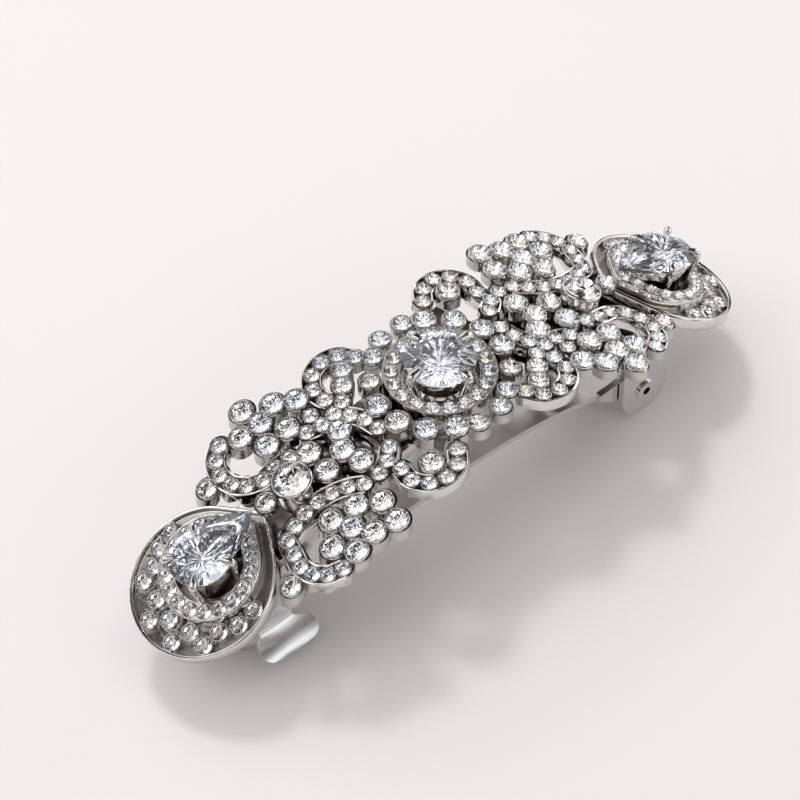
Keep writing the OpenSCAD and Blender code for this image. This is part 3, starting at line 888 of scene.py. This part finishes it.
# In mm along the sheet from its upper edge: slope in degrees, half width, and the places where
# the sheet steps aside from the wall to the ear and where its ear becomes dished
WING_CURVE = np.array([(0, -90), (1, -90), (6.7, -90), (7.1, -72), (7.6, -48), (8.1, -36),
                       (9.2, -28), (10.3, -36), (11.1, -58)])
WING_WIDTH = np.array([(0, 2.6), (0.3, 2.75), (6.4, 2.75), (7.2, 2.35), (7.7, 2.4), (8.1, 3.1),
                       (8.5, 3.75), (9.0, 4.0), (10.1, 4.0), (10.6, 3.8), (10.9, 3.45),
                       (11.1, 2.9)])
WING_STEP_ASIDE = (6.4, 8.6)
WING_DISHED = (7.6, 9.2)
WING_DISH = 0.35 * MM             # how far the ear's edges rise above its middle
BLUR = np.full(5, 0.2)            # evens the half width over five steps


def catch_wing(side, hand, steps=90, columns=13):
    """One spring sheet: an upright wall, a bend with a narrower neck, and a thumb ear that
    curves outwards and is a little dished along its length."""
    s = np.linspace(0, WING_CURVE[-1, 0], steps)
    slope = np.radians(np.interp(s, *WING_CURVE.T))
    y = WALL_MID + np.concatenate([[0], np.cumsum(np.cos(slope[1:]) * np.diff(s))]) * MM
    z = WALL_HEAD + np.concatenate([[0], np.cumsum(np.sin(slope[1:]) * np.diff(s))]) * MM
    half = np.interp(s, *WING_WIDTH.T) * MM
    half = np.convolve(np.pad(half, 2, mode="edge"), BLUR, mode="valid")
    middle = np.interp(s, WING_STEP_ASIDE, WING_MIDDLE)
    t = np.linspace(-1, 1, columns)
    dish = np.interp(s, WING_DISHED, [0, WING_DISH])
    verts = []
    for face, order in ((1, t), (-1, t[::-1])):
        out_y, out_z = -np.sin(slope) * face * SHEET_HALF, np.cos(slope) * face * SHEET_HALF
        rise = dish[:, None] * order[None] ** 2
        verts.append(np.stack([middle[:, None] + half[:, None] * order[None],
                               hand * (y + out_y)[:, None] + 0 * rise,
                               (z + out_z)[:, None] + rise], axis=-1))
    grid = np.concatenate(verts, axis=1)
    cols = grid.shape[1]
    faces = [tuple(f) for f in grid_faces(steps, cols, close_cols=True)]
    faces += [tuple(range(cols)), tuple(range((steps - 1) * cols, steps * cols))[::-1]]
    tidy_normals(make_piece(side + "_thumb_wing", grid.reshape(-1, 3), faces, [SPRING],
                            side + "_catch", (side + "_wing",)))


catch_wing("near", -1)
catch_wing("far", 1)


# ---- floor, light, camera ----

FLOOR_HALF = 3.0
FLOOR_COLOUR = (0.74, 0.715, 0.71, 1)
VIEW_AZIMUTH = math.radians(40.8)
VIEW_ELEVATION = math.radians(49.5)
VIEW_DISTANCE = 0.430
VIEW_SHIFT = (-0.05, -0.02)
LENS, SENSOR = 168.3, 36

# The room that the metal and stones mirror: tones from its darkest patches to its brightest
ROOM_PATCHES = 1.7
ROOM_TONES = [(0.36, (0.016, 0.014, 0.013)), (0.44, (0.06, 0.05, 0.045)),
              (0.475, (0.24, 0.22, 0.21)), (0.51, (0.85, 0.85, 0.88)),
              (0.62, (1.25, 1.25, 1.25))]


def studio_floor():
    """A wide plain floor that the clip stands on."""
    material, _, _, shader = new_material("studio_floor")
    shader.inputs["Base Color"].default_value = FLOOR_COLOUR
    shader.inputs["Roughness"].default_value = 0.55
    mesh = bpy.data.meshes.new("floor")
    mesh.from_pydata([(x * FLOOR_HALF, y * FLOOR_HALF, 0)
                      for x, y in ((-1, -1), (1, -1), (1, 1), (-1, 1))], [], [(0, 1, 2, 3)])
    mesh.materials.append(material)
    floor = bpy.data.objects.new("floor", mesh)
    bpy.context.scene.collection.objects.link(floor)


def facing(columns, place):
    """A matrix with the given X, Y and Z directions and place."""
    x, y, z = columns
    return Matrix([[x[i], y[i], z[i], place[i]] for i in range(3)] + [[0, 0, 0, 1]])


def view_directions():
    """Forward, right and up for a view along the given azimuth, looking down by the elevation."""
    forward = np.array([math.sin(VIEW_AZIMUTH) * math.cos(VIEW_ELEVATION),
                        math.cos(VIEW_AZIMUTH) * math.cos(VIEW_ELEVATION),
                        -math.sin(VIEW_ELEVATION)])
    right = np.array([math.cos(VIEW_AZIMUTH), -math.sin(VIEW_AZIMUTH), 0.0])
    return forward, right, np.cross(right, forward)


def front_camera(forward, right, up):
    """Looks at the crest of the bar."""
    data = bpy.data.cameras.new("camera")
    data.sensor_width = SENSOR
    data.lens = LENS
    data.shift_x, data.shift_y = VIEW_SHIFT
    data.clip_start = 0.01
    camera = bpy.data.objects.new("camera", data)
    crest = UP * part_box("base_bar")[1].z
    camera.matrix_world = facing((right, up, -forward), crest - forward * VIEW_DISTANCE)
    bpy.context.scene.collection.objects.link(camera)
    bpy.context.scene.camera = camera


def softbox(name, direction, distance, size, watts, colour, mirrored=True):
    """A square light that faces the clip from a direction. Metal may leave out its reflection."""
    d = np.array(direction, dtype=float)
    d /= np.linalg.norm(d)
    data = bpy.data.lights.new(name, "AREA")
    data.shape = "SQUARE"
    data.size = size
    data.energy = watts
    data.color = colour
    light = bpy.data.objects.new(name, data)
    light.visible_glossy = mirrored
    u = np.cross(UP, d)
    u /= np.linalg.norm(u)
    light.matrix_world = facing((u, np.cross(d, u), d), d * distance)
    bpy.context.scene.collection.objects.link(light)


def studio_lights(forward, right):
    """Each light's direction is given by steps to the right, away from the camera and up."""
    away = np.array([forward[0], forward[1], 0]) / np.linalg.norm(forward[:2])
    softbox("key", -0.45 * right + 0.75 * away + 1.7 * UP, distance=0.9, size=0.16, watts=2.4,
            colour=(1.0, 0.985, 0.96), mirrored=False)
    softbox("ceiling", -0.2 * right + 0.1 * away + 1.0 * UP, distance=1.0, size=1.6, watts=7.2,
            colour=(0.98, 0.98, 1.0), mirrored=False)
    softbox("fill", -1.0 * right - 0.3 * away + 0.9 * UP, distance=1.0, size=0.5, watts=1.5,
            colour=(0.95, 0.97, 1.0))
    softbox("rim", 1.0 * right + 0.9 * away + 0.7 * UP, distance=1.0, size=0.3, watts=1.0,
            colour=(1.0, 0.97, 0.95))


def room():
    """A soft pattern of dark and bright patches all round."""
    world = bpy.data.worlds.new("studio")
    bpy.context.scene.world = world
    world.use_nodes = True
    nodes, link = world.node_tree.nodes, world.node_tree.links.new
    around = nodes.new("ShaderNodeTexCoord")
    patches = nodes.new("ShaderNodeTexNoise")
    patches.inputs["Scale"].default_value = ROOM_PATCHES
    patches.inputs["Detail"].default_value = 1.0
    ramp = nodes.new("ShaderNodeValToRGB")
    tones = ramp.color_ramp.elements
    for end, (position, colour) in ((0, ROOM_TONES[0]), (1, ROOM_TONES[-1])):
        tones[end].position = position
        tones[end].color = (*colour, 1)
    for position, colour in ROOM_TONES[1:-1]:
        tones.new(position).color = (*colour, 1)
    link(around.outputs["Generated"], patches.inputs["Vector"])
    link(patches.outputs["Fac"], ramp.inputs["Fac"])
    link(ramp.outputs["Color"], nodes["Background"].inputs["Color"])
    nodes["Background"].inputs["Strength"].default_value = 1.0


studio_floor()
forward, right, up = view_directions()
front_camera(forward, right, up)
studio_lights(forward, right)
room()
bpy.context.scene.view_settings.view_transform = "Standard"
